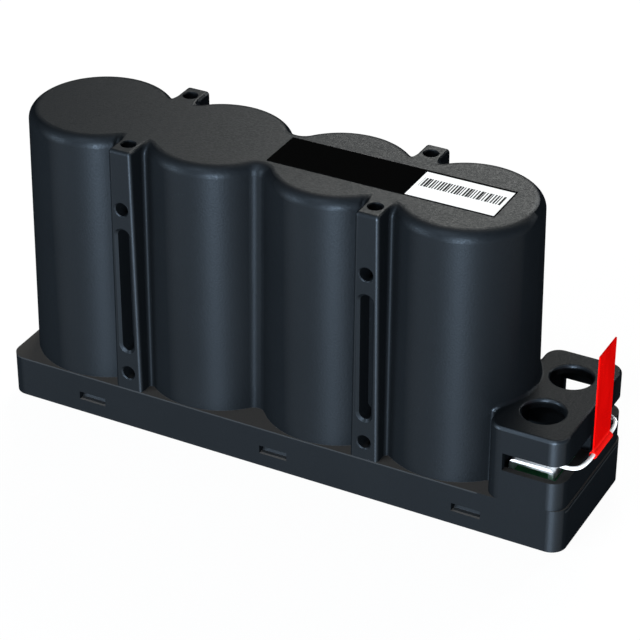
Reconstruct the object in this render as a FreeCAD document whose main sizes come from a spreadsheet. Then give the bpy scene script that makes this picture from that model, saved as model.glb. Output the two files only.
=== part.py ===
"""Supercapacitor module: four can cells upright in one drafted moulding, with a terminal block at one end.

Millimetres, +Z up, +X towards the terminal end. The origin is the middle of the base.
The housing is open below. The cells stand on a balancing board that closes the tray from
inside, and a bottom cover snaps into three windows on each long side. Two tinned terminals
sit on a small board inside the terminal block, under two access holes in its cap. A short
wire with a pull tag joins them for storage.
"""
import FreeCAD, Part
import Sketcher
import math
import os

doc = FreeCAD.newDocument("supercapacitor_module")
sheet = doc.addObject("Spreadsheet::Sheet", "sizes")
derived = doc.addObject("Spreadsheet::Sheet", "derived")

CELLS = 4
SIDES = {"front": -1, "rear": 1}

SIZES = {
    # cells and the lobes of the housing that stand round them
    "cell_pitch": 36,
    "cell_radius": 17.6,
    "cell_bead_height": 5,
    "cell_bead_depth": 0.9,
    "cell_edge": 1.2,
    "cell_pad": 1,
    "pad_radius": 12,
    "lobe_radius": 20.85,
    "lobe_top_radius": 19.8,
    "lobe_wall": 1.75,
    "roof": 2,
    "body_height": 85.5,
    "top_edge": 3,
    "valley_radius": 3,
    "rib_valley_radius": 8,
    # tray
    "tray_margin": 0.15,
    "tray_height": 12.1,
    "tray_ceiling": 2,
    "tray_wall": 1.85,
    "tray_corner": 4.3,
    # mounting ribs
    "rib_top_width": 6.8,
    "rib_base_width": 8.2,
    "rib_root": 6,
    "rib_round": 1,
    "rib_hole_radius": 1.9,
    "rib_hole_depth": 9,
    "rib_hole_chamfer": 0.3,
    "rib_top_hole_inset": 4.9,
    "rib_low_hole": 17.4,
    "rib_high_hole_drop": 17.3,
    "rib_slot_low": 24.4,
    "rib_slot_drop": 23.6,
    "rib_slot_width": 3.6,
    "rib_slot_depth": 6,
    "rib_slot_chamfer": 0.7,
    # terminal block
    "block_reach": 17.75,
    "block_overlap": 4.35,
    "block_step": 0.8,
    "block_end_inset": 0.5,
    "block_height": 34.2,
    "block_edge": 1,
    "cap_root": 1,
    "block_cell_wall": 4.1,
    "block_end_wall": 2.6,
    "gap_start": 4.9,
    "gap_floor": 21.3,
    "gap_roof": 26.5,
    "cap_plate": 2.4,
    "partition_width": 5,
    "access_reach": 6.45,
    "access_offset": 9.2,
    "access_radius": 5.6,
    "access_rim": 0.8,
    # bottom cover
    "cover_plate": 2,
    "cover_clearance": 0.2,
    "window_pitch": 57,
    "window_width": 8.3,
    "window_height": 2.45,
    "window_floor": 4,
    "catch_clearance": 0.5,
    "catch_reach": 1.3,
    "catch_nose": 0.5,
    "catch_slope": 1.5,
    "tab_thickness": 1.5,
    "tab_rise": 0.8,
    "post_radius": 2.5,
    # boards and what is soldered to them
    "board_thickness": 1.6,
    "board_clearance": 0.3,
    "terminal_board_top": 18.4,
    "pin_spread": 5,
    "pin_radius": 0.75,
    "pin_hole_clearance": 0.3,
    "pin_tail": 1.2,
    "resistor_length": 6.3,
    "resistor_width": 3.2,
    "resistor_height": 0.7,
    "resistor_pitch": 4.6,
    "resistor_row": 12.5,
    "chip_length": 5,
    "chip_width": 4,
    "chip_height": 1.6,
    "transistor_length": 6.6,
    "transistor_width": 6.1,
    "transistor_height": 2.3,
    "part_row": 11,
    "link_width": 6.2,
    "link_sheet": 0.8,
    "link_foot": 3,
    "link_offset": 15.1,
    "board_screw_radius": 1.2,
    "board_screw_head": 2.4,
    "board_screw_head_height": 1.4,
    "board_screw_bite": 6,
    "board_screw_spread": 4,
    "screw_clearance": 0.15,
    # terminals and their screws
    "terminal_width": 12.4,
    "terminal_depth": 13,
    "terminal_height": 3.4,
    "terminal_sheet": 1.4,
    "terminal_bend": 1.6,
    "screw_radius": 2,
    "screw_head_radius": 4,
    "screw_head_height": 2.6,
    "screw_tail": 2.2,
    "screw_slot_width": 1,
    "screw_slot_depth": 1.2,
    # shorting wire and its tag
    "wire_radius": 0.55,
    "conductor_radius": 0.4,
    "hook_clearance": 0.2,
    "hook_radius": 2.75,
    "hook_lean": 12,
    "hook_sweep": 255,
    "wire_run": 3.75,
    "wire_reach": 12.65,
    "wire_sway": 0.1,
    "tag_width": 11,
    "tag_height": 29.8,
    "tag_thickness": 0.4,
    "tag_sleeve_wall": 0.3,
    "tag_clearance": 0.2,
    # rating label
    "label_length": 64.3,
    "label_width": 14.4,
    "label_thickness": 0.15,
    "label_setback": 10.35,
}
for row, (alias, value) in enumerate(SIZES.items(), start=1):
    sheet.set(f"A{row}", alias)
    sheet.set(f"B{row}", str(value))
    sheet.setAlias(f"B{row}", alias)
doc.recompute()


def size(alias):
    """A driving dimension as a number, read back from the sheet."""
    return float(sheet.get(alias))


# places that follow from the sheet, as expressions

HALF_WIDTH = "(sizes.lobe_radius + sizes.tray_margin)"
LOBE_REACH = f"({CELLS - 1} * sizes.cell_pitch + sizes.lobe_radius)"
LENGTH = f"({HALF_WIDTH} + {LOBE_REACH} + sizes.block_reach)"
LEFT_END = f"(-{LENGTH} / 2)"
RIGHT_END = f"({LENGTH} / 2)"
INNER_HALF = f"({HALF_WIDTH} - sizes.tray_wall)"
CEILING = "(sizes.tray_height - sizes.tray_ceiling)"
BOARD_UNDERSIDE = f"({CEILING} - sizes.board_thickness)"
CAN_TOP = "(sizes.body_height - sizes.roof - sizes.cell_pad)"
LOBES_END = f"({RIGHT_END} - sizes.block_reach)"
BLOCK_LEFT = f"({LOBES_END} - sizes.block_overlap)"
BLOCK_END = f"({RIGHT_END} - sizes.block_end_inset)"
BLOCK_FOOT = "(sizes.tray_height + sizes.block_step)"
HOLLOW_LEFT = f"({BLOCK_LEFT} + sizes.block_cell_wall)"
HOLLOW_RIGHT = f"({BLOCK_END} - sizes.block_end_wall)"
CAP_UNDERSIDE = "(sizes.block_height - sizes.cap_plate)"
ACCESS_X = f"({LOBES_END} + sizes.access_reach)"
TERMINAL_TOP = "(sizes.terminal_board_top + sizes.terminal_height)"
HEAD_UNDERSIDE = f"({TERMINAL_TOP} + 2 * sizes.conductor_radius + 2 * sizes.hook_clearance)"
RIB_HOLES = {"low": "sizes.rib_low_hole", "high": "(sizes.body_height - sizes.rib_high_hole_drop)"}
SLOT_ENDS = {"low": "sizes.rib_slot_low", "high": "(sizes.body_height - sizes.rib_slot_drop)"}


def lobe_x(index):
    """Middle of one cell along the length."""
    return f"({LEFT_END} + {HALF_WIDTH} + {index} * sizes.cell_pitch)"


def valley_x(index):
    """Middle between one cell and the next along the length."""
    return f"({lobe_x(index)} + sizes.cell_pitch / 2)"


RIB_PLACES = {"left": valley_x(0), "right": valley_x(2)}


def bind(thing, **expressions):
    """Bind properties to the sheet, with __ written for the dot of a nested one."""
    for prop, expression in expressions.items():
        thing.setExpression(prop.replace("__", "."), expression)
    return thing


def sub_part(name):
    """An empty part design body, whose label names its file."""
    body = doc.addObject("PartDesign::Body", name)
    body.Label = name
    return body


def place(thing, x="0", y="0", z="0"):
    """Bind where a primitive or a body stands."""
    return bind(thing, Placement__Base__x=x, Placement__Base__y=y, Placement__Base__z=z)


def box(body, kind, name, corner, extent):
    """An Additive or Subtractive box from its lowest corner and its three lengths."""
    feature = body.newObject(f"PartDesign::{kind}Box", name)
    bind(feature, Length=extent[0], Width=extent[1], Height=extent[2])
    return place(feature, *corner)


def round_bar(body, kind, name, start, radius, height, axis="up"):
    """An Additive or Subtractive cylinder that runs up, or out along -Y (front) or +Y (rear)."""
    feature = body.newObject(f"PartDesign::{kind}Cylinder", name)
    tilt = {"up": 0, "front": 90, "rear": -90}[axis]
    feature.Placement = FreeCAD.Placement(FreeCAD.Vector(), FreeCAD.Rotation(FreeCAD.Vector(1, 0, 0), tilt))
    bind(feature, Radius=radius, Height=height)
    return place(feature, *start)


def outline(body, name, plane, points, offset="0"):
    """A closed sketch of straight lines on an origin plane, every corner bound to the sheet."""
    sketch = body.newObject("Sketcher::SketchObject", name)
    origin_plane = next(item for item in body.Origin.OriginFeatures if item.Role == plane)
    sketch.AttachmentSupport = [(origin_plane, "")]
    sketch.MapMode = "FlatFace"
    sketch.setExpression("AttachmentOffset.Base.z", offset)
    count = len(points)
    start = [FreeCAD.Vector(math.cos(2 * math.pi * n / count), math.sin(2 * math.pi * n / count), 0)
             for n in range(count)]
    for n in range(count):
        sketch.addGeometry(Part.LineSegment(start[n], start[(n + 1) % count]))
    for n in range(count):
        sketch.addConstraint(Sketcher.Constraint("Coincident", n, 2, (n + 1) % count, 1))
    for n, (across, up) in enumerate(points):
        for kind, expression in (("DistanceX", across), ("DistanceY", up)):
            row = sketch.addConstraint(Sketcher.Constraint(kind, -1, 1, n, 1, 1.0))
            sketch.setExpression(f"Constraints[{row}]", expression)
    return sketch


def pad(body, name, sketch, length, middle=False):
    """A sketch made solid along its normal, or to both sides of it."""
    feature = body.newObject("PartDesign::Pad", name)
    feature.Profile = sketch
    feature.Midplane = middle
    return bind(feature, Length=length)


def turned(body, name, sketch):
    """A sketch turned about the vertical axis of its body."""
    feature = body.newObject("PartDesign::Revolution", name)
    feature.Profile = sketch
    feature.ReferenceAxis = (sketch, ["V_Axis"])
    feature.Angle = 360
    return feature


def edges_of(feature, wanted):
    """Names of the edges whose bounding box passes the test."""
    return [f"Edge{n}" for n, edge in enumerate(feature.Shape.Edges, start=1)
            if wanted(edge.BoundBox, edge)]


def dress(body, kind, name, wanted, amount):
    """A Fillet or Chamfer on the edges of the body's last feature that pass the test."""
    doc.recompute()
    base = body.Tip
    feature = body.newObject(f"PartDesign::{kind}", name)
    feature.Base = (base, edges_of(base, wanted))
    return bind(feature, **{"Radius" if kind == "Fillet" else "Size": amount})


def near(first, second):
    return abs(first - second) < 0.01


def is_circle(edge, radius):
    if edge.Degenerated or not isinstance(edge.Curve, Part.Circle):
        return False
    return near(edge.Curve.Radius, radius)


def value_of(expression):
    """The number that an expression gives, worked out in a sheet that drives nothing."""
    derived.set("A1", f"={expression}")
    derived.recompute()
    return float(derived.get("A1"))


def group(name, members):
    """Several like solids as one sub-part."""
    compound = doc.addObject("Part::Compound", name)
    compound.Label = name
    compound.Links = members
    return compound


# housing: one moulding of tray, lobes, ribs and terminal block

half_width = value_of(HALF_WIDTH)
left_end = value_of(LEFT_END)
right_end = value_of(RIGHT_END)
tray_height = size("tray_height")
body_height = size("body_height")
block_height = size("block_height")

housing = sub_part("housing")
box(housing, "Additive", "Block", (BLOCK_LEFT, f"-{HALF_WIDTH}", "0"),
    (f"{BLOCK_END} - {BLOCK_LEFT}", f"2 * {HALF_WIDTH}", "sizes.block_height"))
dress(housing, "Fillet", "BlockCorners", lambda b, e: near(b.ZLength, block_height), "sizes.tray_corner")
dress(housing, "Fillet", "BlockTopEdge", lambda b, e: near(b.ZMin, block_height), "sizes.block_edge")
box(housing, "Additive", "Tray", (LEFT_END, f"-{HALF_WIDTH}", "0"),
    (LENGTH, f"2 * {HALF_WIDTH}", "sizes.tray_height"))
box(housing, "Additive", "BlockFoot", (ACCESS_X, f"-{HALF_WIDTH}", "0"),
    (f"{RIGHT_END} - {ACCESS_X}", f"2 * {HALF_WIDTH}", BLOCK_FOOT))
dress(housing, "Fillet", "TrayCorners",
      lambda b, e: b.XLength + b.YLength < 0.01 and (near(b.XMin, left_end) or near(b.XMin, right_end)),
      "sizes.tray_corner")
for index in range(CELLS):
    lobe = housing.newObject("PartDesign::AdditiveCone", f"Lobe{index + 1}")
    bind(lobe, Radius1="sizes.lobe_radius", Radius2="sizes.lobe_top_radius",
         Height="sizes.body_height - sizes.tray_height")
    place(lobe, lobe_x(index), "0", "sizes.tray_height")
rib_middles = [value_of(rib_x) for rib_x in RIB_PLACES.values()]


def is_valley(b):
    """The edge where two lobes meet, over their whole height."""
    return b.XLength < 0.01 and near(b.ZMax, body_height) and near(b.ZMin, tray_height)


def is_ribbed(b):
    return any(near(b.XMin, x) for x in rib_middles)


dress(housing, "Fillet", "OpenValleys", lambda b, e: is_valley(b) and not is_ribbed(b),
      "sizes.valley_radius")
dress(housing, "Fillet", "RibValleys", lambda b, e: is_valley(b) and is_ribbed(b),
      "sizes.rib_valley_radius")
dress(housing, "Fillet", "TopEdge", lambda b, e: near(b.ZMin, body_height), "sizes.top_edge")
lobe_draft = (size("lobe_radius") - size("lobe_top_radius")) / (body_height - tray_height)
cap_root_radius = size("lobe_radius") - lobe_draft * (block_height - tray_height)
dress(housing, "Fillet", "CapRoot",
      lambda b, e: near(b.ZMin, block_height) and is_circle(e, cap_root_radius), "sizes.cap_root")

for side, sign in SIDES.items():
    for where, rib_x in RIB_PLACES.items():
        rib = housing.newObject("PartDesign::AdditiveWedge", f"Rib_{where}_{side}")
        rib.Placement = FreeCAD.Placement(FreeCAD.Vector(), FreeCAD.Rotation(FreeCAD.Vector(1, 0, 0), 90))
        outer, root = (HALF_WIDTH, "sizes.rib_root") if sign < 0 else ("-sizes.rib_root", f"-{HALF_WIDTH}")
        bind(rib, Xmin="-sizes.rib_base_width / 2", Xmax="sizes.rib_base_width / 2",
             X2min="-sizes.rib_top_width / 2", X2max="sizes.rib_top_width / 2",
             Ymin="0", Ymax="sizes.body_height - sizes.tray_height",
             Zmin=root, Z2min=root, Zmax=outer, Z2max=outer)
        place(rib, rib_x, "0", "sizes.tray_height")
rib_half = size("rib_base_width") / 2 + 0.01


def is_rib_edge(b, e):
    """Front corners, roots and top edges of the ribs."""
    beside = any(max(abs(b.XMin - x), abs(b.XMax - x)) < rib_half for x in rib_middles)
    upright = near(b.ZMin, tray_height) and b.ZLength > body_height / 2
    return beside and (upright or near(b.ZMin, body_height))


dress(housing, "Fillet", "RibRounds", is_rib_edge, "sizes.rib_round")

for side, sign in SIDES.items():
    for where, rib_x in RIB_PLACES.items():
        floor_y = f"{sign} * ({HALF_WIDTH} - sizes.rib_hole_depth)"
        for level, height in RIB_HOLES.items():
            round_bar(housing, "Subtractive", f"RibHole_{where}_{side}_{level}", (rib_x, floor_y, height),
                      "sizes.rib_hole_radius", "2 * sizes.rib_hole_depth", side)
        round_bar(housing, "Subtractive", f"RibTopHole_{where}_{side}",
                  (rib_x, f"{sign} * ({HALF_WIDTH} - sizes.rib_top_hole_inset)",
                   "sizes.body_height - sizes.rib_hole_depth"),
                  "sizes.rib_hole_radius", "2 * sizes.rib_hole_depth")
        box(housing, "Subtractive", f"RibSlot_{where}_{side}",
            (f"{rib_x} - sizes.rib_slot_width / 2", f"{sign} * {HALF_WIDTH} - sizes.rib_slot_depth",
             f"{SLOT_ENDS['low']} + sizes.rib_slot_width / 2"),
            ("sizes.rib_slot_width", "2 * sizes.rib_slot_depth",
             f"{SLOT_ENDS['high']} - {SLOT_ENDS['low']} - sizes.rib_slot_width"))
        for level, inward in (("low", "+"), ("high", "-")):
            round_bar(housing, "Subtractive", f"RibSlotEnd_{where}_{side}_{level}",
                      (rib_x, f"{sign} * ({HALF_WIDTH} - sizes.rib_slot_depth)",
                       f"{SLOT_ENDS[level]} {inward} sizes.rib_slot_width / 2"),
                      "sizes.rib_slot_width / 2", "2 * sizes.rib_slot_depth", side)


def on_rib_face(b):
    return near(abs(b.YMin), half_width) and near(abs(b.YMax), half_width)


rib_hole_radius = size("rib_hole_radius")
slot_low = value_of(SLOT_ENDS["low"])
slot_high = value_of(SLOT_ENDS["high"])
dress(housing, "Chamfer", "RibHoleRims",
      lambda b, e: is_circle(e, rib_hole_radius) and (on_rib_face(b) or near(b.ZMin, body_height)),
      "sizes.rib_hole_chamfer")
dress(housing, "Chamfer", "RibSlotRims",
      lambda b, e: on_rib_face(b) and not is_circle(e, rib_hole_radius)
      and b.XLength < size("rib_slot_width") + 0.01
      and b.ZMin > slot_low - 0.01 and b.ZMax < slot_high + 0.01,
      "sizes.rib_slot_chamfer")

# hollows of the housing, open below

for index in range(CELLS):
    cavity = housing.newObject("PartDesign::SubtractiveCone", f"CellCavity{index + 1}")
    bind(cavity, Radius1="sizes.lobe_radius - sizes.lobe_wall",
         Radius2="sizes.lobe_top_radius - sizes.lobe_wall",
         Height=f"sizes.body_height - sizes.roof - {CEILING}")
    place(cavity, lobe_x(index), "0", CEILING)
box(housing, "Subtractive", "TrayHollow",
    (f"{LEFT_END} + sizes.tray_wall", f"-{INNER_HALF}", f"-{CEILING}"),
    (f"{LENGTH} - 2 * sizes.tray_wall", f"2 * {INNER_HALF}", f"2 * {CEILING}"))
inner_left = left_end + size("tray_wall")
inner_right = right_end - size("tray_wall")
dress(housing, "Fillet", "TrayHollowCorners",
      lambda b, e: b.XLength + b.YLength < 0.01 and near(b.ZMin, 0)
      and (near(b.XMin, inner_left) or near(b.XMin, inner_right)),
      "sizes.tray_corner - sizes.tray_wall")
box(housing, "Subtractive", "BlockHollow", (HOLLOW_LEFT, f"-{INNER_HALF}", "0"),
    (f"{HOLLOW_RIGHT} - {HOLLOW_LEFT}", f"2 * {INNER_HALF}", CAP_UNDERSIDE))
box(housing, "Subtractive", "WiringGap",
    (f"{BLOCK_LEFT} + sizes.gap_start", f"-2 * {HALF_WIDTH}", "sizes.gap_floor"),
    (f"{BLOCK_END} - {BLOCK_LEFT}", f"4 * {HALF_WIDTH}", "sizes.gap_roof - sizes.gap_floor"))
box(housing, "Additive", "Partition",
    (HOLLOW_LEFT, "-sizes.partition_width / 2", "sizes.terminal_board_top"),
    (f"{BLOCK_END} - {HOLLOW_LEFT}", "sizes.partition_width",
     f"{CAP_UNDERSIDE} - sizes.terminal_board_top"))
for side, sign in SIDES.items():
    round_bar(housing, "Subtractive", f"AccessHole_{side}",
              (ACCESS_X, f"{sign} * sizes.access_offset", CAP_UNDERSIDE),
              "sizes.access_radius", "sizes.cap_plate")
dress(housing, "Fillet", "AccessRims",
      lambda b, e: is_circle(e, size("access_radius")) and near(b.ZMin, block_height), "sizes.access_rim")
for place_number in (-1, 0, 1):
    box(housing, "Subtractive", f"Window{place_number + 2}",
        (f"{place_number} * sizes.window_pitch - sizes.window_width / 2", f"-2 * {HALF_WIDTH}",
         "sizes.window_floor"),
        ("sizes.window_width", f"4 * {HALF_WIDTH}", "sizes.window_height"))
for spread in (-1, 1):
    round_bar(housing, "Subtractive", f"BoardScrewPilot{spread + 2}",
              (f"{ACCESS_X} + {spread} * sizes.board_screw_spread", "0", "sizes.terminal_board_top"),
              "sizes.board_screw_radius + sizes.screw_clearance",
              "sizes.board_screw_bite + sizes.screw_clearance")
doc.recompute()

# bottom cover: plate inside the tray wall, snap tabs in the windows, posts under the board

COVER_HALF = f"({INNER_HALF} - sizes.cover_clearance)"
COVER_LEFT = f"({LEFT_END} + sizes.tray_wall + sizes.cover_clearance)"
COVER_LENGTH = f"({LENGTH} - 2 * (sizes.tray_wall + sizes.cover_clearance))"
CATCH_TOP = "(sizes.window_floor + sizes.catch_nose + sizes.catch_slope)"

cover = sub_part("bottom_cover")
box(cover, "Additive", "Plate", (COVER_LEFT, f"-{COVER_HALF}", "0"),
    (COVER_LENGTH, f"2 * {COVER_HALF}", "sizes.cover_plate"))
dress(cover, "Fillet", "PlateCorners", lambda b, e: near(b.ZLength, size("cover_plate")),
      "sizes.tray_corner - sizes.tray_wall - sizes.cover_clearance")
for side, sign in SIDES.items():
    for place_number in (-1, 0, 1):
        face = f"{sign} * {COVER_HALF}"
        nose = f"{sign} * ({COVER_HALF} + sizes.catch_reach)"
        back = f"{sign} * ({COVER_HALF} - sizes.tab_thickness)"
        profile = outline(cover, f"TabProfile_{side}_{place_number + 2}", "YZ_Plane",
                          [(back, "0"), (face, "0"), (face, "sizes.window_floor"),
                           (nose, "sizes.window_floor"), (nose, "sizes.window_floor + sizes.catch_nose"),
                           (face, CATCH_TOP), (face, f"{CATCH_TOP} + sizes.tab_rise"),
                           (back, f"{CATCH_TOP} + sizes.tab_rise")],
                          f"{place_number} * sizes.window_pitch")
        pad(cover, f"Tab_{side}_{place_number + 2}", profile,
            "sizes.window_width - 2 * sizes.catch_clearance", True)
for index in range(CELLS - 1):
    round_bar(cover, "Additive", f"Post{index + 1}", (valley_x(index), "0", "0"),
              "sizes.post_radius", BOARD_UNDERSIDE)

# cells: sealed cans with a rolled bead above the base, two solder pins each

CAN_HEIGHT = f"({CAN_TOP} - {CEILING})"
PIN_REACH = "(sizes.board_thickness + sizes.pin_tail)"


def can_cell(index):
    cell = sub_part(f"cell_{index + 1}")
    profile = outline(cell, f"CanProfile{index + 1}", "XZ_Plane",
                      [("0", "0"), ("sizes.cell_radius", "0"),
                       ("sizes.cell_radius", "sizes.cell_bead_height - sizes.cell_bead_depth"),
                       ("sizes.cell_radius - sizes.cell_bead_depth", "sizes.cell_bead_height"),
                       ("sizes.cell_radius", "sizes.cell_bead_height + sizes.cell_bead_depth"),
                       ("sizes.cell_radius", CAN_HEIGHT), ("0", CAN_HEIGHT)])
    turned(cell, f"Can{index + 1}", profile)
    can_height = value_of(CAN_HEIGHT)
    dress(cell, "Fillet", f"CanEdge{index + 1}",
          lambda b, e: near(b.ZMin, can_height) and is_circle(e, size("cell_radius")), "sizes.cell_edge")
    for spread in (-1, 1):
        round_bar(cell, "Additive", f"Pin{index + 1}_{spread + 2}",
                  (f"{spread} * sizes.pin_spread", "0", f"-{PIN_REACH}"), "sizes.pin_radius", PIN_REACH)
    return place(cell, lobe_x(index), "0", CEILING)


cells = [can_cell(index) for index in range(CELLS)]


def foam_disc(index):
    disc = doc.addObject("Part::Cylinder", f"FoamDisc{index + 1}")
    bind(disc, Radius="sizes.pad_radius", Height="sizes.cell_pad")
    return place(disc, lobe_x(index), "0", CAN_TOP)


cell_pads = group("cell_pads", [foam_disc(index) for index in range(CELLS)])

# main board: against the ceiling of the tray, with a hole for each pin

BOARD_HALF = f"({INNER_HALF} - sizes.board_clearance)"
BOARD_LEFT = f"({LEFT_END} + sizes.tray_wall + sizes.board_clearance)"
BOARD_LENGTH = f"({LENGTH} - 2 * (sizes.tray_wall + sizes.board_clearance))"

main_board = sub_part("main_board")
box(main_board, "Additive", "BoardPlate", (BOARD_LEFT, f"-{BOARD_HALF}", BOARD_UNDERSIDE),
    (BOARD_LENGTH, f"2 * {BOARD_HALF}", "sizes.board_thickness"))
dress(main_board, "Fillet", "BoardCorners", lambda b, e: near(b.ZLength, size("board_thickness")),
      "sizes.tray_corner - sizes.tray_wall - sizes.board_clearance")
for index in range(CELLS):
    for spread in (-1, 1):
        round_bar(main_board, "Subtractive", f"PinHole{index + 1}_{spread + 2}",
                  (f"{lobe_x(index)} + {spread} * sizes.pin_spread", "0", BOARD_UNDERSIDE),
                  "sizes.pin_radius + sizes.pin_hole_clearance", "sizes.board_thickness")


def soldered_block(name, kind, x, y):
    """A surface mounted part that hangs from the underside of the main board, by its middle."""
    block = doc.addObject("Part::Box", name)
    bind(block, Length=f"sizes.{kind}_length", Width=f"sizes.{kind}_width", Height=f"sizes.{kind}_height")
    return place(block, f"{x} - sizes.{kind}_length / 2", f"{y} - sizes.{kind}_width / 2",
                 f"{BOARD_UNDERSIDE} - sizes.{kind}_height")


balance_resistors = group("balance_resistors", [
    soldered_block(f"Resistor{index + 1}_{row}", "resistor", f"{lobe_x(index)} - sizes.resistor_length / 2",
                   f"-sizes.resistor_row + {row} * sizes.resistor_pitch")
    for index in range(CELLS) for row in range(2)])
balance_transistors = group("balance_transistors", [
    soldered_block(f"Transistor{index + 1}", "transistor", f"{lobe_x(index)} + sizes.transistor_length",
                   "-sizes.part_row") for index in range(CELLS)])
balance_chips = group("balance_chips", [
    soldered_block(f"Chip{index + 1}", "chip", lobe_x(index), "sizes.part_row") for index in range(CELLS)])

# terminal board: seats under the partition of the terminal block, held by two screws

TERMINAL_BOARD_UNDERSIDE = "(sizes.terminal_board_top - sizes.board_thickness)"

terminal_board = sub_part("terminal_board")
box(terminal_board, "Additive", "TerminalBoardPlate",
    (f"{HOLLOW_LEFT} + sizes.board_clearance", f"-{BOARD_HALF}", TERMINAL_BOARD_UNDERSIDE),
    (f"{HOLLOW_RIGHT} - {HOLLOW_LEFT} - 2 * sizes.board_clearance", f"2 * {BOARD_HALF}",
     "sizes.board_thickness"))
for side, sign in SIDES.items():
    round_bar(terminal_board, "Subtractive", f"TerminalScrewHole_{side}",
              (ACCESS_X, f"{sign} * sizes.access_offset", TERMINAL_BOARD_UNDERSIDE),
              "sizes.screw_radius + sizes.screw_clearance", "sizes.board_thickness")
for spread in (-1, 1):
    round_bar(terminal_board, "Subtractive", f"BoardScrewHole{spread + 2}",
              (f"{ACCESS_X} + {spread} * sizes.board_screw_spread", "0", TERMINAL_BOARD_UNDERSIDE),
              "sizes.board_screw_radius + sizes.screw_clearance", "sizes.board_thickness")


def headed_screw(name, shank, head, head_height, reach, up, slotted):
    """A screw turned about its axis, with the underside of its head at its own origin."""
    screw = sub_part(name)
    toe = f"-{up} * {reach}"
    profile = outline(screw, f"{name}Profile", "XZ_Plane",
                      [("0", toe), (shank, toe), (shank, "0"), (head, "0"),
                       (head, f"{up} * {head_height} / 2"), (shank, f"{up} * {head_height}"),
                       ("0", f"{up} * {head_height}")])
    turned(screw, f"{name}Turned", profile)
    if slotted:
        for turn, (along, across) in enumerate((("screw_head_radius", "screw_slot_width"),
                                                ("screw_slot_width", "screw_head_radius"))):
            box(screw, "Subtractive", f"{name}Slot{turn + 1}",
                (f"-sizes.{along} / 2", f"-sizes.{across} / 2", f"{head_height} - sizes.screw_slot_depth"),
                (f"sizes.{along}", f"sizes.{across}", "sizes.screw_slot_depth"))
    return screw


board_screws = group("board_screws", [
    place(headed_screw(f"BoardScrew{spread + 2}", "sizes.board_screw_radius", "sizes.board_screw_head",
                       "sizes.board_screw_head_height",
                       "(sizes.board_thickness + sizes.board_screw_bite)", -1, False),
          f"{ACCESS_X} + {spread} * sizes.board_screw_spread", "0", TERMINAL_BOARD_UNDERSIDE)
    for spread in (-1, 1)])

# links: tinned straps between the two boards

LINK_HEIGHT = f"({TERMINAL_BOARD_UNDERSIDE} - {CEILING})"


def strap(side, sign):
    link = sub_part(f"link_{side}")
    profile = outline(link, f"StrapProfile_{side}", "XZ_Plane",
                      [("0", "0"), ("sizes.link_foot", "0"), ("sizes.link_foot", "sizes.link_sheet"),
                       ("sizes.link_sheet", "sizes.link_sheet"),
                       ("sizes.link_sheet", f"{LINK_HEIGHT} - sizes.link_sheet"),
                       ("sizes.link_foot", f"{LINK_HEIGHT} - sizes.link_sheet"),
                       ("sizes.link_foot", LINK_HEIGHT), ("0", LINK_HEIGHT)])
    pad(link, f"Strap_{side}", profile, "sizes.link_width", True)
    return place(link, ACCESS_X, f"{sign} * sizes.link_offset", CEILING)


links = [strap(side, sign) for side, sign in SIDES.items()]

# terminals: sheet folded to an arch over the terminal board, tapped for the screw


def folded_terminal(side, sign):
    terminal = sub_part(f"terminal_{side}")
    outer = "sizes.terminal_width / 2"
    inner = "(sizes.terminal_width / 2 - sizes.terminal_sheet)"
    arch = "(sizes.terminal_height - sizes.terminal_sheet)"
    profile = outline(terminal, f"ArchProfile_{side}", "XZ_Plane",
                      [(f"-{outer}", "0"), (f"-{inner}", "0"), (f"-{inner}", arch), (inner, arch),
                       (inner, "0"), (outer, "0"), (outer, "sizes.terminal_height"),
                       (f"-{outer}", "sizes.terminal_height")])
    pad(terminal, f"Arch_{side}", profile, "sizes.terminal_depth", True)
    terminal_height = size("terminal_height")
    dress(terminal, "Fillet", f"Bends_{side}",
          lambda b, e: near(b.ZMin, terminal_height) and b.YLength > size("terminal_depth") / 2,
          "sizes.terminal_bend")
    round_bar(terminal, "Subtractive", f"TappedHole_{side}", ("0", "0", "0"),
              "sizes.screw_radius + sizes.screw_clearance", "sizes.terminal_height")
    return place(terminal, ACCESS_X, f"{sign} * sizes.access_offset", "sizes.terminal_board_top")


terminals = [folded_terminal(side, sign) for side, sign in SIDES.items()]
terminal_screws = group("terminal_screws", [
    place(headed_screw(f"TerminalScrew_{side}", "sizes.screw_radius", "sizes.screw_head_radius",
                       "sizes.screw_head_height",
                       f"({HEAD_UNDERSIDE} - {TERMINAL_BOARD_UNDERSIDE} + sizes.screw_tail)", 1, True),
          ACCESS_X, f"{sign} * sizes.access_offset", HEAD_UNDERSIDE)
    for side, sign in SIDES.items()])

# shorting wire: straight runs and tangent arcs round the end of the block, hooked under both screws

WIRE_LEVEL = f"({TERMINAL_TOP} + sizes.conductor_radius + sizes.hook_clearance)"
TANGENT_SHARE = 0.45


def heading(angle):
    return FreeCAD.Vector(math.cos(angle), math.sin(angle), 0)


def mirrored(point):
    return FreeCAD.Vector(point.x, -point.y, point.z)


lean = math.radians(size("hook_lean"))
turn = (math.pi / 2 + lean) / 3
runs = [heading(step * turn - lean) * size("wire_run") for step in range(3)]
front_screw = FreeCAD.Vector(value_of(ACCESS_X), -size("access_offset"), value_of(WIRE_LEVEL))
hook_start = front_screw + heading(-math.pi / 2 - lean) * size("hook_radius")
wire_x = front_screw.x + size("wire_reach")
tail_runs = (wire_x - hook_start.x - runs[1].x - runs[2].x) / runs[0].x
wire_start = hook_start + runs[0] * (tail_runs - 1)
front_half = [wire_start, wire_start + runs[0], wire_start + runs[0] + runs[1],
              wire_start + runs[0] + runs[1] + runs[2]]
front_half.append(FreeCAD.Vector(wire_x + size("wire_sway"), front_half[-1].y / 3, front_screw.z))
route = front_half + [mirrored(point) for point in reversed(front_half)]


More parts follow.
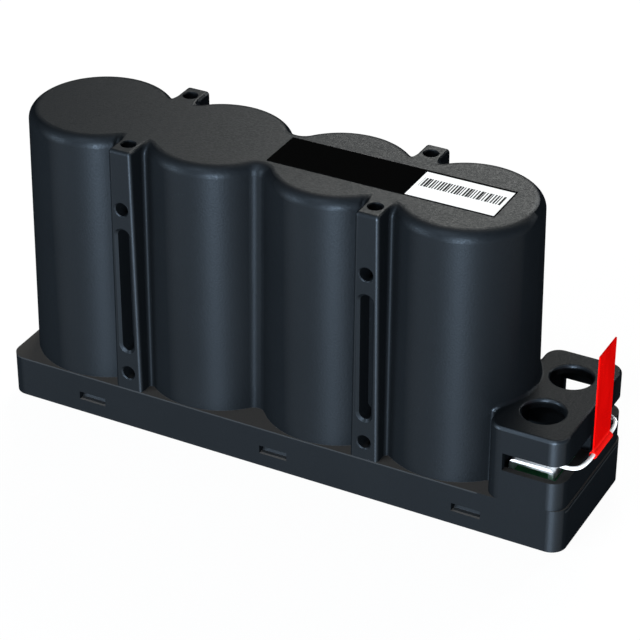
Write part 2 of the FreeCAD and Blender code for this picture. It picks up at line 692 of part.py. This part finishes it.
def rounded_path(points):
    """Edges of straight runs joined by tangent arcs, and the radius of each arc."""
    edges = []
    radii = []
    start = points[0]
    for before, corner, after in zip(points, points[1:], points[2:]):
        incoming = (corner - before).normalize()
        outgoing = (after - corner).normalize()
        shorter = min((corner - before).Length, (after - corner).Length)
        half_turn = incoming.getAngle(outgoing) / 2
        tangent = TANGENT_SHARE * shorter
        radii.append(tangent / math.tan(half_turn))
        leave = corner - incoming * tangent
        join = corner + outgoing * tangent
        bisector = (outgoing - incoming).normalize()
        middle = corner + bisector * (radii[-1] / math.cos(half_turn) - radii[-1])
        edges.append(Part.LineSegment(start, leave).toShape())
        edges.append(Part.Arc(leave, middle, join).toShape())
        start = join
    edges.append(Part.LineSegment(start, points[-1]).toShape())
    return edges, radii


def tube(name, edges, radius):
    """A round tube along joined edges, tested against its section times its length."""
    path = Part.Wire(edges)
    start = edges[0].FirstParameter
    circle = Part.Circle(edges[0].valueAt(start), edges[0].tangentAt(start), radius)
    section = Part.Wire([circle.toShape()])
    solid = path.makePipeShell([section], True, False)
    expected = math.pi * radius ** 2 * path.Length
    if abs(solid.Volume - expected) > 0.01 * expected:
        raise ValueError(f"{name}: volume {solid.Volume:.2f} is not {expected:.2f}")
    feature = doc.addObject("Part::Feature", name)
    feature.Shape = solid
    feature.Label = name
    return feature, path.Length


wire_edges, wire_radii = rounded_path(route)
shorting_wire, wire_length = tube("shorting_wire", wire_edges, size("wire_radius"))
print("shorting wire", round(wire_length, 1), "mm, bend radii", [round(r, 1) for r in wire_radii])


def hooked_end(side, sign):
    """Bare conductor from the end of the wire, tangent to a loop round the terminal screw."""
    first = -math.pi / 2 - lean
    last = first - math.radians(size("hook_sweep"))
    loop = [heading(angle) * size("hook_radius") for angle in (first, (first + last) / 2, last)]
    points = [wire_start] + [front_screw + spoke for spoke in loop]
    if sign > 0:
        points = [mirrored(point) for point in points]
    edges = [Part.LineSegment(*points[:2]).toShape(), Part.Arc(*points[1:]).toShape()]
    return tube(f"wire_end_{side}", edges, size("conductor_radius"))[0]


wire_ends = [hooked_end(side, sign) for side, sign in SIDES.items()]

# pull tag: vinyl folded over the wire and stuck to itself

tag = sub_part("pull_tag")
sleeve_bore = "(sizes.wire_radius + sizes.tag_clearance)"
sleeve_outside = f"({sleeve_bore} + sizes.tag_sleeve_wall)"
box(tag, "Additive", "Flag", ("-sizes.tag_thickness / 2", "-sizes.tag_width / 2", "0"),
    ("sizes.tag_thickness", "sizes.tag_width", "sizes.tag_height"))
for kind, radius in (("Additive", sleeve_outside), ("Subtractive", sleeve_bore)):
    round_bar(tag, kind, f"{kind}Sleeve", ("0", "-sizes.tag_width / 2", "0"), radius,
              "sizes.tag_width", "rear")
place(tag, f"{ACCESS_X} + sizes.wire_reach + sizes.wire_sway", "0", WIRE_LEVEL)

# rating label: film on the top face, from the middle valley to the last lobe

label = sub_part("rating_label")
box(label, "Additive", "Film",
    (f"{LOBES_END} - sizes.label_setback - sizes.label_length", "-sizes.label_width / 2",
     "sizes.body_height"),
    ("sizes.label_length", "sizes.label_width", "sizes.label_thickness"))

doc.recompute()

sub_parts = [housing, cover, *cells, cell_pads, main_board, balance_resistors, balance_transistors,
             balance_chips, terminal_board, board_screws, *links, *terminals, terminal_screws, shorting_wire,
             *wire_ends, tag, label]
failed = [item.Name for item in doc.Objects if {"Invalid", "Error"} & set(item.State)]
failed += [item.Label for item in sub_parts if item.Shape.isNull() or not item.Shape.isValid()]
if failed:
    raise RuntimeError("failed: " + ", ".join(failed))

os.makedirs("parts", exist_ok=True)
for item in sub_parts:
    item.Shape.exportStep(f"parts/{item.Label}.step")
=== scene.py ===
import math

import bpy
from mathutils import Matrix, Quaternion, Vector


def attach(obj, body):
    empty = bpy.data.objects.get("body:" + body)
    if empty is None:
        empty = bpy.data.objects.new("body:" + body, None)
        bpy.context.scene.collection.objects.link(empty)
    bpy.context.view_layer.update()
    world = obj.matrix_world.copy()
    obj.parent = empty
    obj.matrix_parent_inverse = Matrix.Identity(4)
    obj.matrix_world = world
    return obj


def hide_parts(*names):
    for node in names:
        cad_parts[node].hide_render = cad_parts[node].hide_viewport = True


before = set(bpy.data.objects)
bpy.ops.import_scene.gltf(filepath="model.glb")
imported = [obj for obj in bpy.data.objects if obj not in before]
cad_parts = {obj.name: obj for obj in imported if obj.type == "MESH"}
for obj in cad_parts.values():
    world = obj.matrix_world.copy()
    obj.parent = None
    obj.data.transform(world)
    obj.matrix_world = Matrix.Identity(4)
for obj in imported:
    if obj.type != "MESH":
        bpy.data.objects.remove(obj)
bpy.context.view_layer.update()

# Cells: four drawn aluminium cans that hold the rolled electrodes, with a bead rolled
# in above the base and two pins soldered through the board. They stand in the lobes.


def join(material, value, socket):
    """Lead a node's output, or a plain number or colour, to an input."""
    if isinstance(value, bpy.types.NodeSocket):
        material.node_tree.links.new(value, socket)
    else:
        socket.default_value = value


def feed(material, **inputs):
    """Lead outputs or plain values to inputs of the material's surface."""
    surface = material.node_tree.nodes["Principled BSDF"]
    for name, value in inputs.items():
        join(material, value, surface.inputs[name.replace("_", " ")])


def finish(name, roughness, metallic=0.0):
    """A new material with a plain surface, ready for detail."""
    material = bpy.data.materials.new(name)
    material.use_nodes = True
    feed(material, Roughness=roughness, Metallic=metallic)
    return material


def add_node(material, kind, **inputs):
    """A node of the material, with outputs or plain values led to some of its inputs."""
    node = material.node_tree.nodes.new(kind)
    for name, value in inputs.items():
        join(material, value, node.inputs[name.replace("_", " ")])
    return node


def noise(material, scale, detail=3.0, stretch=(1, 1, 1)):
    """Noise in the piece's own space, drawn out along an axis by its stretch."""
    place = add_node(material, "ShaderNodeTexCoord")
    mapping = add_node(material, "ShaderNodeMapping", Vector=place.outputs["Object"], Scale=stretch)
    texture = add_node(material, "ShaderNodeTexNoise", Vector=mapping.outputs["Vector"],
                       Scale=scale, Detail=detail)
    return texture.outputs["Fac"]


def scaled(material, value, low, high, start, end):
    """A value drawn from one range to another and held at its ends."""
    drawn = add_node(material, "ShaderNodeMapRange", Value=value, From_Min=low, From_Max=high,
                     To_Min=start, To_Max=end)
    return drawn.outputs["Result"]


def two_tones(material, source, dark, light, low=0.35, high=0.65):
    """A colour that wanders between two tones."""
    ramp = add_node(material, "ShaderNodeValToRGB", Fac=source)
    for stop, place, tone in zip(ramp.color_ramp.elements, (low, high), (dark, light)):
        stop.position = place
        stop.color = (*tone, 1)
    return ramp.outputs["Color"]


def tint(material, source, dark, light):
    """Surface colour that wanders between two tones."""
    feed(material, Base_Color=two_tones(material, source, dark, light))


def gloss(material, source, smooth, rough, low=0.3, high=0.7):
    """Roughness that wanders between two values."""
    feed(material, Roughness=scaled(material, source, low, high, smooth, rough))


def grain(material, source, strength, depth):
    """Fine relief of a given depth in metres."""
    bump = add_node(material, "ShaderNodeBump", Height=source, Strength=strength, Distance=depth)
    feed(material, Normal=bump.outputs["Normal"])


def paint(material, *names):
    """Give CAD nodes a material."""
    for name in names:
        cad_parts[name].material_slots[0].material = material


can_metal = finish("drawn_aluminium", roughness=0.34, metallic=1.0)
draw_lines = noise(can_metal, scale=900, stretch=(1, 1, 0.02))
tint(can_metal, draw_lines, dark=(0.7, 0.71, 0.72), light=(0.82, 0.83, 0.84))
gloss(can_metal, draw_lines, smooth=0.26, rough=0.42)
grain(can_metal, draw_lines, strength=0.15, depth=0.00003)
paint(can_metal, "cell_1", "cell_2", "cell_3", "cell_4")

# Cell pads: punched discs of dark cellular foam, one on each can, that press it down
# on the board when the cover is on.
foam = finish("pad_foam", roughness=0.92)
foam_cells = noise(foam, scale=1400, detail=2)
tint(foam, foam_cells, dark=(0.05, 0.05, 0.055), light=(0.15, 0.15, 0.16))
grain(foam, foam_cells, strength=0.8, depth=0.0003)
paint(foam, "cell_pads")

# Boards: glass laminate under green solder mask. The main board carries the cans and the
# balancing parts, the small one carries the terminals.
laminate = finish("board_laminate", roughness=0.38)
mask_flow = noise(laminate, scale=320, detail=4)
tint(laminate, mask_flow, dark=(0.07, 0.33, 0.14), light=(0.11, 0.43, 0.19))
gloss(laminate, mask_flow, smooth=0.3, rough=0.45)
grain(laminate, noise(laminate, scale=1500), strength=0.12, depth=0.00004)
paint(laminate, "main_board", "terminal_board")

# Balancing parts: moulded transistors and detector chips, and glazed chip resistors, all
# soldered under the main board.
chip_mould = finish("chip_mould", roughness=0.55)
chip_grain = noise(chip_mould, scale=2600)
tint(chip_mould, chip_grain, dark=(0.012, 0.012, 0.013), light=(0.03, 0.03, 0.032))
grain(chip_mould, chip_grain, strength=0.3, depth=0.00004)
paint(chip_mould, "balance_transistors", "balance_chips")
glaze = finish("resistor_glaze", roughness=0.25)
glaze_flow = noise(glaze, scale=700)
tint(glaze, glaze_flow, dark=(0.02, 0.02, 0.024), light=(0.06, 0.06, 0.07))
gloss(glaze, glaze_flow, smooth=0.2, rough=0.32)
paint(glaze, "balance_resistors")

# Links and terminals: brass sheet, cut, folded and tinned. The links lift the current from
# the main board, and each terminal is an arch soldered on the small board under its screw.
tinned = finish("tinned_sheet", roughness=0.5, metallic=0.12)
tin_flow = noise(tinned, scale=260, detail=5)
tint(tinned, tin_flow, dark=(0.86, 0.89, 0.93), light=(0.93, 0.95, 0.97))
gloss(tinned, tin_flow, smooth=0.4, rough=0.58)
grain(tinned, noise(tinned, scale=900), strength=0.12, depth=0.00004)
paint(tinned, "link_front", "link_rear", "terminal_front", "terminal_rear")

# Screws: zinc plated steel, two that hold the small board to the partition and two with
# pan heads that clamp the cables on the terminals.
zinc = finish("zinc_plate", roughness=0.32, metallic=1.0)
zinc_bloom = noise(zinc, scale=1100, detail=4)
tint(zinc, zinc_bloom, dark=(0.55, 0.56, 0.56), light=(0.76, 0.76, 0.74))
gloss(zinc, zinc_bloom, smooth=0.24, rough=0.45)
paint(zinc, "board_screws", "terminal_screws")

# Housing: one injection moulding of black glass filled plastic, with lobes round the cans, ribs
# with screw holes, a tray and a hollow terminal block. Its mould is spark eroded. Hands have
# polished its edges. Its colour has painted light on the ledges and the window sills, and a
# painted highlight along the top edge of the tray.


def calculate(material, operation, *values):
    """Result of a sum on outputs or plain numbers."""
    node = add_node(material, "ShaderNodeMath")
    node.operation = operation
    for value, socket in zip(values, node.inputs):
        join(material, value, socket)
    return node.outputs["Value"]


def both(material, first, second):
    """Product of two shares, which is one only where both are one."""
    return calculate(material, "MULTIPLY", first, second)


def between(material, value, low, high):
    """One where a value lies between two limits, nought elsewhere."""
    return calculate(material, "COMPARE", value, (low + high) / 2, (high - low) / 2)


def unsigned(material, value):
    """A value without its sign."""
    return calculate(material, "ABSOLUTE", value)


def outside(material, share):
    """What a share leaves of one."""
    return calculate(material, "SUBTRACT", 1.0, share)


def blend(material, share, first, second, kind="FLOAT"):
    """Mix of two values or colours, each an output or a plain value."""
    mix = add_node(material, "ShaderNodeMix")
    mix.data_type = kind
    sockets = [socket for socket in mix.inputs if socket.enabled]
    for value, socket in zip((share, first, second), sockets):
        join(material, value, socket)
    return next(socket for socket in mix.outputs if socket.enabled)


def axes(material, kind="Object"):
    """X, Y and Z of a place on the piece, or of the way that its surface faces."""
    place = add_node(material, "ShaderNodeTexCoord")
    parts = add_node(material, "ShaderNodeSeparateXYZ", Vector=place.outputs[kind])
    return parts.outputs["X"], parts.outputs["Y"], parts.outputs["Z"]


def matt_at_grazing(material, near=0.1, far=0.42):
    """Share of its gloss that a spark eroded skin keeps, which fades at a low angle."""
    facing = add_node(material, "ShaderNodeLayerWeight", Blend=0.5)
    return scaled(material, facing.outputs["Facing"], near, far, 1.0, 0.0)


moulding = finish("housing_plastic", roughness=0.5)
spark = noise(moulding, scale=1900, detail=2)
gloss(moulding, spark, smooth=0.4, rough=0.56)
grain(moulding, spark, strength=0.6, depth=0.00006)
skin_x, skin_y, skin_z = axes(moulding)
facing_x, _, facing_z = axes(moulding, "Normal")
level_slope = (0.9, 0.99)
faces_up = scaled(moulding, facing_z, *level_slope, 0.0, 1.0)

# Gloss of the housing: faces that look up have more of it towards the roof, and of the others,
# the edges of the ribs, the corners of the terminal end and the rim of the cap have most.
polish_from = 0.015
roof_height = 0.0855
roof_gloss = 0.09
side_gloss = 0.17
handled_gloss = 0.46
rib_middle = -0.0088
rib_length = (0.0318, 0.0402)
rib_depth = (0.0185, 0.022)
terminal_end = (0.0775, 0.0845)
cap_rim_height = (0.0331, 0.03425)
cap_rim_slope = (0.12, 0.92)
edge_begins = (0.04, 0.2)
edge_ends = (0.85, 0.97)
upper_gloss = both(moulding, scaled(moulding, skin_z, polish_from, roof_height, 0.0, roof_gloss),
                   matt_at_grazing(moulding, near=0.54, far=0.85))
turned = unsigned(moulding, facing_x)
on_edge = both(moulding, scaled(moulding, turned, *edge_begins, 0.0, 1.0),
               scaled(moulding, turned, *edge_ends, 1.0, 0.0))
from_middle = unsigned(moulding, calculate(moulding, "SUBTRACT", skin_x, rib_middle))
on_rib = both(moulding, between(moulding, from_middle, *rib_length),
              between(moulding, unsigned(moulding, skin_y), *rib_depth))
at_end = between(moulding, skin_x, *terminal_end)
on_rim = both(moulding, between(moulding, skin_z, *cap_rim_height),
              between(moulding, facing_z, *cap_rim_slope))
handled_edge = both(moulding, on_edge, blend(moulding, on_rib, at_end, 1.0))
handled = blend(moulding, on_rim, handled_edge, 1.0)
lower_gloss = both(moulding, blend(moulding, handled, side_gloss, handled_gloss),
                   matt_at_grazing(moulding))
mould_sheen = (0.66, 0.82, 1.0, 1)
mould_draw = add_node(moulding, "ShaderNodeCombineXYZ", X=0.02, Y=0.01, Z=1.0)
feed(moulding, Specular_IOR_Level=blend(moulding, faces_up, lower_gloss, upper_gloss),
     Specular_Tint=mould_sheen, Anisotropic=0.5, Tangent=mould_draw.outputs["Vector"])

# Colour of the housing: the resin, then painted light on the ledges and the window sills, then a painted
# highlight along the top edge of the tray.
tray_ledge = (0.0124, 0.016)
block_ledge = (0.0205, 0.0222)
block_ledge_light = 0.42
window_floor = (0.0036, 0.0044)
tray_edge = (0.0117, 0.01215)
block_length = (0.06, 0.0835)
# Painted light: lighter tones for the ledges and the window sills, and a painted highlight tone for the
# top edge of the tray.
ledge_light_tone = (0.042, 0.04, 0.038, 1)
window_light_tone = (0.085, 0.082, 0.08, 1)
edge_highlight_tone = (0.017, 0.0185, 0.02, 1)
resin = two_tones(moulding, noise(moulding, scale=45, detail=5), low=0.0, high=1.0,
                  dark=(0.0034, 0.0043, 0.0053), light=(0.0047, 0.0058, 0.007))
# Painted light on the ledges: faces that look up are lighter there, as if lit from above.
ledge_light_share = blend(moulding, between(moulding, skin_z, *block_ledge),
             scaled(moulding, skin_z, *tray_ledge, 1.0, 0.0), block_ledge_light)
ledge_lit_skin = blend(moulding, both(moulding, faces_up, ledge_light_share), resin, ledge_light_tone, "RGBA")
# Painted light on the window sills: their floors are lighter.
in_window = both(moulding, faces_up, between(moulding, skin_z, *window_floor))
window_skin = blend(moulding, in_window, ledge_lit_skin, window_light_tone, "RGBA")
# Painted highlight: a lighter line along the top edge of the tray, away from the terminal block.
off_block = outside(moulding, between(moulding, skin_x, *block_length))
edge_highlight_share = both(moulding, both(moulding, outside(moulding, faces_up), off_block),
              between(moulding, skin_z, *tray_edge))
feed(moulding, Base_Color=blend(moulding, edge_highlight_share, window_skin, edge_highlight_tone, "RGBA"))
paint(moulding, "housing")

# Bottom cover: a second moulding of the same plastic, pushed into the tray from below until
# its catches snap into the windows. The noses of the catches are matt.
cover_mould = finish("cover_plastic", roughness=0.5)
cover_flow = noise(cover_mould, scale=60)
cover_spark = noise(cover_mould, scale=2400, detail=4)
tint(cover_mould, cover_flow, dark=(0.0045, 0.005, 0.0055), light=(0.006, 0.0065, 0.007))
gloss(cover_mould, cover_spark, smooth=0.42, rough=0.54)
grain(cover_mould, cover_spark, strength=0.3, depth=0.00005)
cover_gloss = 0.36
catch_height = (0.0039, 0.00472)
_, _, cover_z = axes(cover_mould)
off_catches = outside(cover_mould, between(cover_mould, cover_z, *catch_height))
kept_gloss = both(cover_mould, off_catches, matt_at_grazing(cover_mould))
feed(cover_mould, Specular_IOR_Level=both(cover_mould, kept_gloss, cover_gloss), Specular_Tint=mould_sheen)
paint(cover_mould, "bottom_cover")

# Wire ends: the tinned copper conductor of the shorting wire, bared at both ends and bent
# to a hook under each terminal screw.
conductor = finish("tinned_conductor", roughness=0.3, metallic=1.0)
conductor_flow = noise(conductor, scale=1800, stretch=(1, 1, 0.2))
tint(conductor, conductor_flow, dark=(0.68, 0.67, 0.65), light=(0.86, 0.85, 0.83))
gloss(conductor, conductor_flow, smooth=0.22, rough=0.4)
paint(conductor, "wire_end_front", "wire_end_rear")

# Shorting wire: a short white insulated lead that joins the terminals for storage. It leaves
# the block at one terminal, goes round its end and comes back in at the other.
wire_half = [(0.07591, 0.01274), (0.07958, 0.01385), (0.0839, 0.0133), (0.08525, 0.0096), (0.08525, 0.003)]
wire_route = [(x, -y) for x, y in wire_half] + wire_half[::-1]
wire_level = 0.0224
wire_diameter = 0.0011
wire_curve = bpy.data.curves.new("white_shorting_wire", "CURVE")
wire_curve.dimensions = "3D"
wire_curve.bevel_depth = wire_diameter / 2
wire_curve.bevel_resolution = 6
wire_curve.resolution_u = 16
wire_curve.use_fill_caps = True
wire_line = wire_curve.splines.new("NURBS")
wire_line.points.add(len(wire_route) - 1)
for point, (x, y) in zip(wire_line.points, wire_route):
    point.co = (x, y, wire_level, 1)
wire_line.order_u = 3
wire_line.use_endpoint_u = True
wire = bpy.data.objects.new("white_shorting_wire", wire_curve)
bpy.context.scene.collection.objects.link(wire)
jacket = finish("wire_jacket", roughness=0.4)
jacket_draw = noise(jacket, scale=800, stretch=(1, 0.3, 1))
tint(jacket, jacket_draw, dark=(0.8, 0.8, 0.79), light=(0.9, 0.9, 0.89))
gloss(jacket, jacket_draw, smooth=0.32, rough=0.48)
wire_curve.materials.append(jacket)
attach(wire, "root")
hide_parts("shorting_wire")

# Pull tag: a strip of red vinyl folded over the wire and stuck to itself, so that the wire is
# seen and taken off before use. Its red is brighter low down, at the fold round the wire.
vinyl = finish("tag_vinyl", roughness=0.5)
vinyl_roll = noise(vinyl, scale=240, detail=4, stretch=(1, 1, 0.3))
gloss(vinyl, vinyl_roll, smooth=0.42, rough=0.58)
grain(vinyl, noise(vinyl, scale=1600), strength=0.1, depth=0.00004)
fold_height = (0.0236, 0.0248)
fold_red = (0.66, 0.008, 0.006, 1)
flag_red = two_tones(vinyl, vinyl_roll, dark=(0.4, 0.0013, 0.001), light=(0.48, 0.002, 0.0015))
_, _, vinyl_z = axes(vinyl)
below_fold = scaled(vinyl, vinyl_z, *fold_height, 1.0, 0.0)
feed(vinyl, Base_Color=blend(vinyl, below_fold, flag_red, fold_red, "RGBA"), Specular_IOR_Level=0.0)
paint(vinyl, "pull_tag")

# Rating label: black film stuck on the top face and printed with a white field, on which
# stands a row of plain serial bars.
film = finish("label_film", roughness=0.55)
film_grain = noise(film, scale=900)
gloss(film, film_grain, smooth=0.5, rough=0.62)
grain(film, film_grain, strength=0.08, depth=0.00003)
field_length = (0.0308, 0.0554)
field_width = (-0.007, 0.0063)
code_length = (0.0318, 0.0546)
code_width = (-0.0013, 0.0033)
bars_per_metre = 1300
thin_bar = 0.38
thick_bar = 0.92
film_black = (0.002, 0.002, 0.002, 1)
field_white = (0.95, 0.95, 0.94, 1)
bar_black = (0.03, 0.03, 0.03, 1)
along, across, _ = axes(film)
on_field = both(film, between(film, along, *field_length), between(film, across, *field_width))
on_code = both(film, between(film, along, *code_length), between(film, across, *code_width))
bar_place = calculate(film, "MULTIPLY", along, bars_per_metre)
bar_draw = add_node(film, "ShaderNodeTexWhiteNoise")
bar_draw.noise_dimensions = "1D"
join(film, calculate(film, "FLOOR", bar_place), bar_draw.inputs["W"])
bar_share = scaled(film, bar_draw.outputs["Value"], 0.0, 1.0, thin_bar, thick_bar)
on_bar = calculate(film, "LESS_THAN", calculate(film, "FRACT", bar_place), bar_share)
field_print = blend(film, on_field, film_black, field_white, "RGBA")
bar_print = blend(film, both(film, on_bar, on_code), field_print, bar_black, "RGBA")
feed(film, Base_Color=bar_print, Specular_IOR_Level=0.0)
paint(film, "rating_label")

# Studio: a table that shows as white and keeps the object's shadow, two soft boxes low in front
# and one low behind, one high up on either side, and the camera.
bpy.ops.mesh.primitive_plane_add(size=6.0, location=(0, 0, 0))
table = bpy.context.active_object
table.name = "white_table"
table_paint = finish("table_white", roughness=0.8)
feed(table_paint, Base_Color=(0.9, 0.9, 0.9, 1), Specular_IOR_Level=0.0)
glow_share = 0.95
glow = add_node(table_paint, "ShaderNodeEmission", Strength=1.0)
ray = add_node(table_paint, "ShaderNodeLightPath")
seen = calculate(table_paint, "MAXIMUM", ray.outputs["Is Camera Ray"], ray.outputs["Is Glossy Ray"])
seen_at_all = calculate(table_paint, "MAXIMUM", seen, ray.outputs["Is Transmission Ray"])
table_mix = add_node(table_paint, "ShaderNodeMixShader", Fac=both(table_paint, seen_at_all, glow_share))
table_nodes = table_paint.node_tree.nodes
join(table_paint, table_nodes["Principled BSDF"].outputs["BSDF"], table_mix.inputs[1])
join(table_paint, glow.outputs["Emission"], table_mix.inputs[2])
join(table_paint, table_mix.outputs["Shader"], table_nodes["Material Output"].inputs["Surface"])
table.data.materials.append(table_paint)
object_middle = (0.0, 0.0, 0.045)


def set_up(thing, place, aim, roll=0.0):
    """Put a lamp or a camera at a place, facing a point and rolled about its line of sight."""
    thing.location = place
    thing.rotation_mode = "QUATERNION"
    sight = (Vector(aim) - Vector(place)).to_track_quat("-Z", "Y")
    thing.rotation_quaternion = sight @ Quaternion((0, 0, 1), roll)
    bpy.context.scene.collection.objects.link(thing)


def soft_box(name, place, size, power, colour):
    """A rectangular soft lamp that faces the object."""
    lamp = bpy.data.lights.new(name, "AREA")
    lamp.shape = "RECTANGLE"
    lamp.size, lamp.size_y = size
    lamp.energy = power
    lamp.color = colour
    set_up(bpy.data.objects.new(name, lamp), place, aim=object_middle)


soft_box("front_box", (0.39, -1.133, 0.108), size=(0.14, 0.1), power=33, colour=(0.86, 0.93, 1.0))
soft_box("left_box", (-0.836, -0.836, 0.253), size=(0.4, 0.4), power=15, colour=(0.84, 0.93, 1.0))
soft_box("rear_box", (0.31, 1.159, 0.108), size=(0.14, 0.1), power=20, colour=(0.86, 0.93, 1.0))
soft_box("high_box", (-0.165, -0.614, 1.063), size=(0.3, 0.2), power=5, colour=(0.92, 0.96, 1.0))
soft_box("back_box", (-0.176, 0.996, 0.78), size=(0.6, 0.5), power=13.7, colour=(1.0, 0.975, 0.9))

world = bpy.data.worlds.new("studio")
world.use_nodes = True
room = world.node_tree.nodes["Background"]
room.inputs["Color"].default_value = (0.72, 0.8, 0.9, 1)
room.inputs["Strength"].default_value = 0.22
bpy.context.scene.world = world
bpy.context.scene.view_settings.view_transform = "Standard"

camera_data = bpy.data.cameras.new("photo_camera")
camera_data.lens = 141.45
camera_data.sensor_width = 36
camera = bpy.data.objects.new("photo_camera", camera_data)
camera_place = (0.26951, -0.5099, 0.38857)
set_up(camera, camera_place, aim=(0.00328, 0.0, 0.03676), roll=math.radians(0.149))
bpy.context.scene.camera = camera
